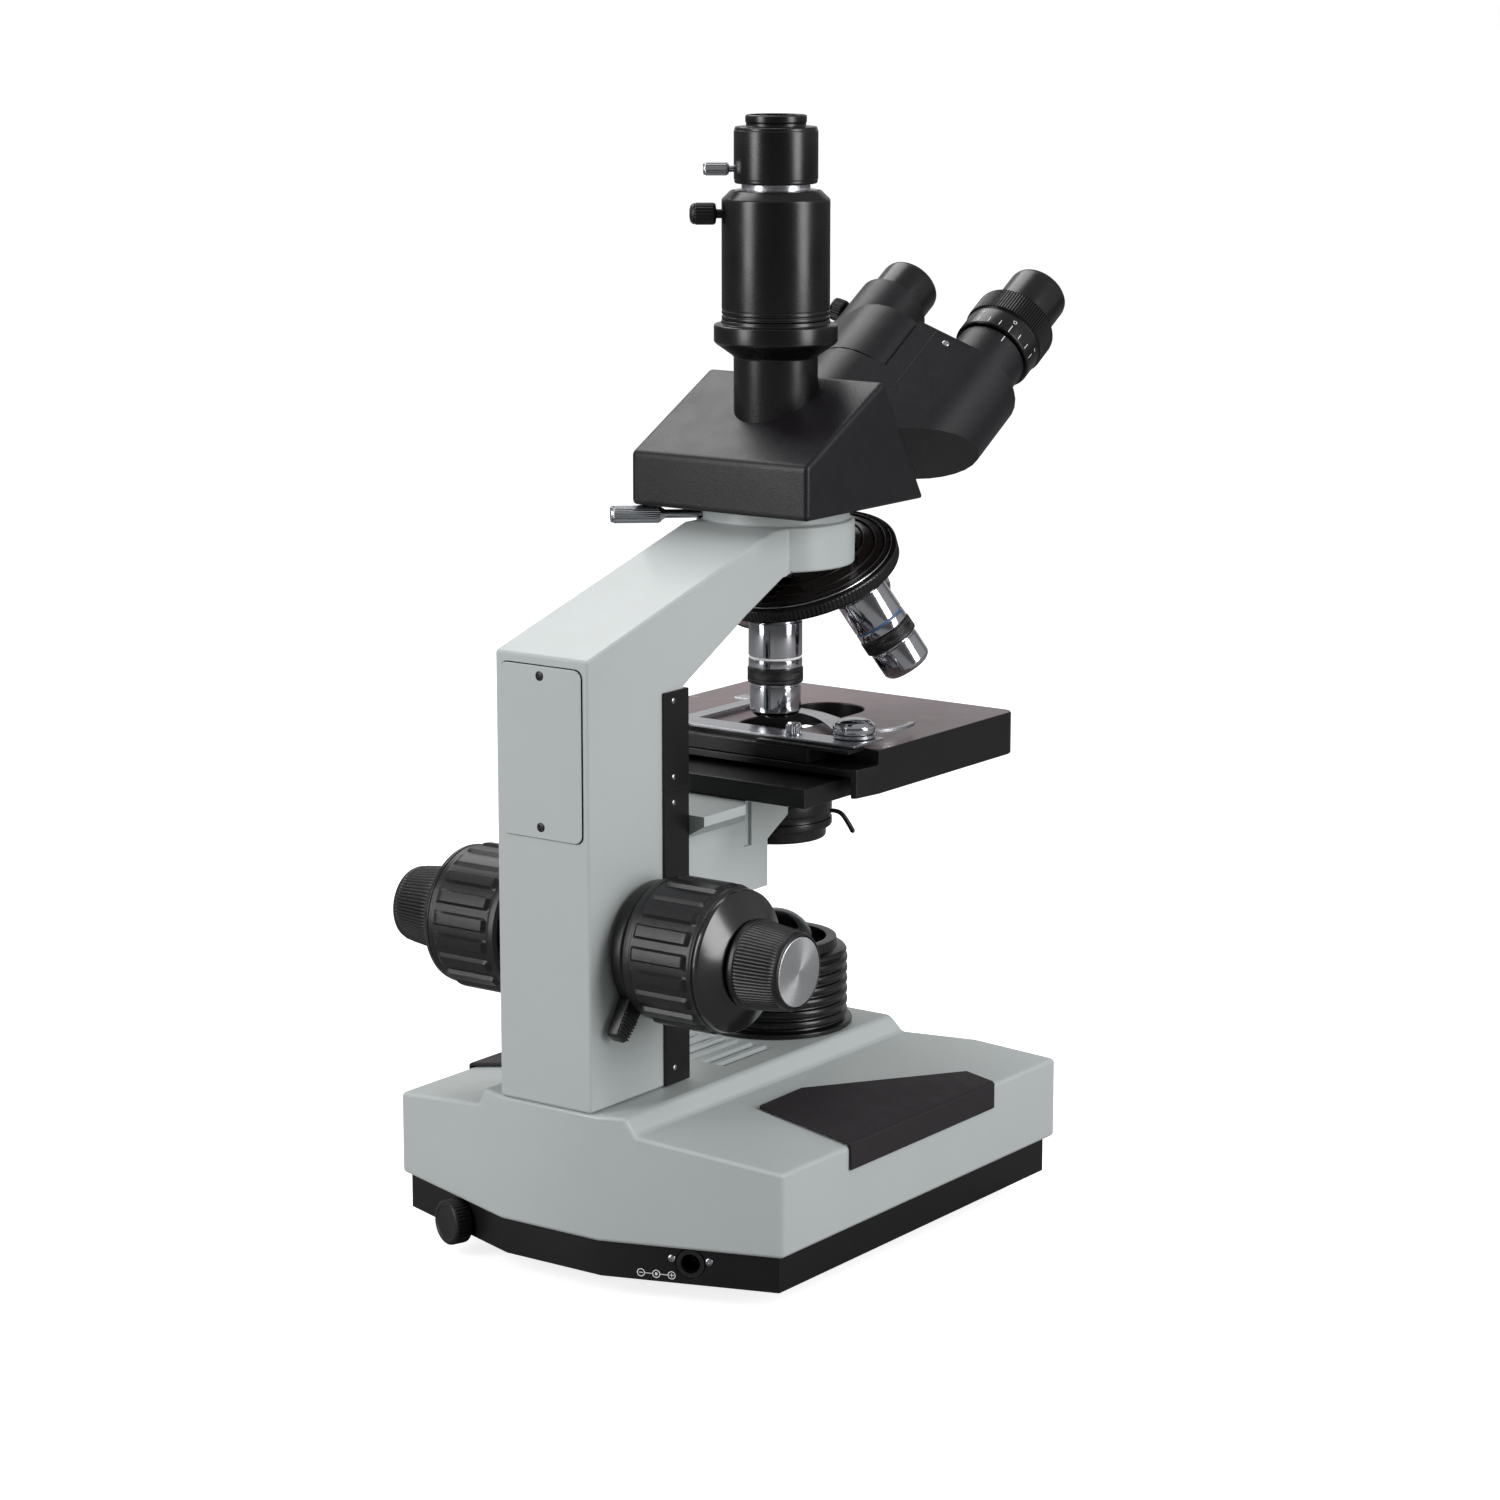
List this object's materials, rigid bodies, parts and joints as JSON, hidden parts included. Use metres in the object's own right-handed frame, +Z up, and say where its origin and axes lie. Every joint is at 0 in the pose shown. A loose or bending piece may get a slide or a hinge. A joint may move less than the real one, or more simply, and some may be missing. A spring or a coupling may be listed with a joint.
{
  "type": "compound microscope",
  "caption": "Trinocular compound microscope: grey stand with focus knobs, mechanical stage, condenser, revolving nosepiece, inclined binocular head and camera port.",
  "frame": {"origin": "middle of the footprint, on the table under the feet", "axes": "+Z up, +X to the user's right, -Y towards the user (eyepiece side)"},
  "size_m": [0.1884, 0.3033, 0.438],
  "materials": {
    "grey_paint": "satin",
    "black_paint": "satin",
    "black_gloss": "gloss",
    "black_plastic": "moulded",
    "rubber": "matte",
    "stage_coat": "matte",
    "chrome": "polished",
    "steel": "brushed",
    "aluminium": "brushed",
    "brass": "machined",
    "glass": "clear"
  },
  "bodies": {
    "stand": {"base_cover": "grey_paint", "base_pan": "black_paint", "dc_inlet": "black_plastic", "lamp_module": "aluminium", "foot_front_left": "rubber", "foot_front_right": "rubber", "foot_rear_left": "rubber", "foot_rear_right": "rubber", "wrist_pad_left": "rubber", "wrist_pad_right": "rubber", "arm": "grey_paint", "arm_cover_plate": "grey_paint", "guide_strip_left": "black_paint", "guide_strip_right": "black_paint", "lamp_house": "black_paint", "collector_lens": "glass", "nosepiece_mount": "black_gloss"},
    "dial": {"brightness_dial": "black_plastic"},
    "coarse_drive": {"coarse_shaft": "steel", "coarse_knob_left": "black_plastic", "coarse_knob_right": "black_plastic"},
    "fine_drive": {"fine_shaft": "steel", "fine_knob_left": "black_plastic", "fine_knob_right": "black_plastic", "fine_cap_left": "aluminium"},
    "lock_ring": {"focus_lock_ring": "black_plastic"},
    "tension": {"tension_ring": "black_plastic"},
    "focus_block": {"focus_slide": "steel", "focus_rack": "brass"},
    "stage_mount": {"stage_carrier": "grey_paint", "stage_base_plate": "black_paint"},
    "stage_y": {"stage_top_plate": "stage_coat"},
    "stage_x": {"x_carriage": "black_paint", "slide_holder": "aluminium", "finger_pivot": "chrome"},
    "finger": {"spring_finger": "steel"},
    "y_knob": {"stage_y_knob": "black_plastic"},
    "x_knob": {"stage_x_knob": "black_plastic"},
    "condenser": {"condenser_body": "black_paint", "condenser_lens": "glass"},
    "iris": {"iris_lever": "black_paint"},
    "focus_knob_condenser": {"condenser_knob": "black_plastic"},
    "turret": {"nosepiece_turret": "black_paint", "objective_4x": "chrome", "objective_10x": "chrome", "objective_40x": "chrome", "objective_100x": "chrome"},
    "head": {"head_housing": "black_paint", "hinge_axle": "black_paint", "trinocular_tube": "black_paint", "camera_tube": "black_paint"},
    "head_clamp": {"head_clamp_screw": "chrome"},
    "left_wing": {"prism_box_left": "black_paint"},
    "right_wing": {"prism_box_right": "black_paint"},
    "dioptre": {"dioptre_ring": "black_plastic"},
    "left_eyepiece": {"eyepiece_left": "black_paint"},
    "right_eyepiece": {"eyepiece_right": "black_paint"},
    "adapter": {"camera_adapter": "black_paint"},
    "tube_screw": {"tube_lock_screw": "black_plastic"},
    "adapter_screw": {"adapter_thumbscrew": "chrome"}
  },
  "joints": [
    {"name": "dial_turn", "type": "hinge", "parent": "stand", "child": "dial", "pos_m": [0.053, 0.13675, 0.013], "axis": [0.3207, 0.9472, 0], "range_deg": [0, 270]},
    {"name": "coarse_focus", "type": "slide", "parent": "stand", "child": "focus_block", "axis": [0, 0, 1], "range_m": [-0.02, 0]},
    {"name": "coarse_turn", "type": "hinge", "parent": "stand", "child": "coarse_drive", "pos_m": [0, 0.11585, 0.131], "axis": [1, 0, 0], "range_deg": [-1, 186]},
    {"name": "fine_turn", "type": "hinge", "parent": "stand", "child": "fine_drive", "pos_m": [0, 0.11585, 0.131], "axis": [1, 0, 0], "range_deg": [-720, 720]},
    {"name": "fine_focus", "type": "slide", "parent": "focus_block", "child": "stage_mount", "axis": [0, 0, 1], "range_m": [-0.0004, 0.0004]},
    {"name": "lock_ring_turn", "type": "hinge", "parent": "stand", "child": "lock_ring", "pos_m": [0, 0.11585, 0.131], "axis": [1, 0, 0], "range_deg": [-60, 0]},
    {"name": "tension_turn", "type": "hinge", "parent": "stand", "child": "tension", "pos_m": [0, 0.11585, 0.131], "axis": [1, 0, 0], "range_deg": [-45, 45]},
    {"name": "stage_y_travel", "type": "slide", "parent": "stage_mount", "child": "stage_y", "axis": [0, 1, 0], "range_m": [0, 0.032]},
    {"name": "stage_x_travel", "type": "slide", "parent": "stage_y", "child": "stage_x", "axis": [1, 0, 0], "range_m": [-0.03, 0.03]},
    {"name": "y_knob_turn", "type": "hinge", "parent": "stage_y", "child": "y_knob", "pos_m": [0.055, -0.00555, 0.142], "axis": [0, 0, 1], "range_deg": [-1, 231]},
    {"name": "x_knob_turn", "type": "hinge", "parent": "stage_y", "child": "x_knob", "pos_m": [0.055, -0.00555, 0.125], "axis": [0, 0, 1], "range_deg": [-216, 216]},
    {"name": "finger_open", "type": "hinge", "parent": "stage_x", "child": "finger", "pos_m": [-0.048, 0.01445, 0.199], "axis": [0, 0, 1], "range_deg": [-25, 0], "stiffness_Nm_per_rad": 0.05, "springref_deg": 5.73},
    {"name": "condenser_focus", "type": "slide", "parent": "stage_mount", "child": "condenser", "axis": [0, 0, 1], "range_m": [-0.006, 0]},
    {"name": "condenser_knob_turn", "type": "hinge", "parent": "stage_mount", "child": "focus_knob_condenser", "pos_m": [0, 0.03845, 0.146], "axis": [1, 0, 0], "range_deg": [-70, 1]},
    {"name": "iris_turn", "type": "hinge", "parent": "condenser", "child": "iris", "pos_m": [0, 0.00045, 0.159], "axis": [0, 0, 1], "range_deg": [-45, 60]},
    {"name": "turret_turn", "type": "hinge", "parent": "stand", "child": "turret", "pos_m": [0, 0.00045, 0.3], "axis": [0, -0.4067, -0.9135], "continuous": true},
    {"name": "head_turn", "type": "hinge", "parent": "stand", "child": "head", "pos_m": [0, 0.00045, 0.285], "axis": [0, 0, 1], "continuous": true},
    {"name": "head_clamp_turn", "type": "hinge", "parent": "stand", "child": "head_clamp", "pos_m": [0, 0.00045, 0.2812], "axis": [0.766, 0.6428, 0], "range_deg": [-180, 180]},
    {"name": "left_ipd", "type": "hinge", "parent": "head", "child": "left_wing", "pos_m": [0, -0.03, 0.30793], "axis": [0, -0.848, 0.5299], "range_deg": [-12, 12]},
    {"name": "right_ipd", "type": "hinge", "parent": "head", "child": "right_wing", "pos_m": [0, -0.03, 0.30793], "axis": [0, -0.848, 0.5299], "range_deg": [-12, 12]},
    {"name": "dioptre_turn", "type": "hinge", "parent": "left_wing", "child": "dioptre", "pos_m": [-0.032, -0.03902, 0.2935], "axis": [0, -0.848, 0.5299], "range_deg": [-60, 60]},
    {"name": "left_eyepiece_pull", "type": "slide", "parent": "left_wing", "child": "left_eyepiece", "axis": [0, -0.848, 0.5299], "range_m": [0, 0.03]},
    {"name": "right_eyepiece_pull", "type": "slide", "parent": "right_wing", "child": "right_eyepiece", "axis": [0, -0.848, 0.5299], "range_m": [0, 0.03]},
    {"name": "adapter_pull", "type": "slide", "parent": "head", "child": "adapter", "axis": [0, 0, 1], "range_m": [0, 0.012]},
    {"name": "tube_screw_turn", "type": "hinge", "parent": "head", "child": "tube_screw", "pos_m": [0, 0.00045, 0.3995], "axis": [0.8121, 0.5835, 0], "range_deg": [-180, 180]},
    {"name": "adapter_screw_turn", "type": "hinge", "parent": "adapter", "child": "adapter_screw", "pos_m": [0, 0.00045, 0.417], "axis": [0.8121, 0.5835, 0], "range_deg": [-180, 180]}
  ],
  "couplings": [
    {"joint": "coarse_turn", "follows": "coarse_focus", "rad_per_m": -161.29},
    {"joint": "fine_turn", "follows": "fine_focus", "rad_per_m": -31416},
    {"joint": "y_knob_turn", "follows": "stage_y_travel", "rad_per_m": 125},
    {"joint": "x_knob_turn", "follows": "stage_x_travel", "rad_per_m": 125},
    {"joint": "condenser_knob_turn", "follows": "condenser_focus", "rad_per_m": 200},
    {"joint": "right_ipd", "follows": "left_ipd", "ratio": -1}
  ]
}
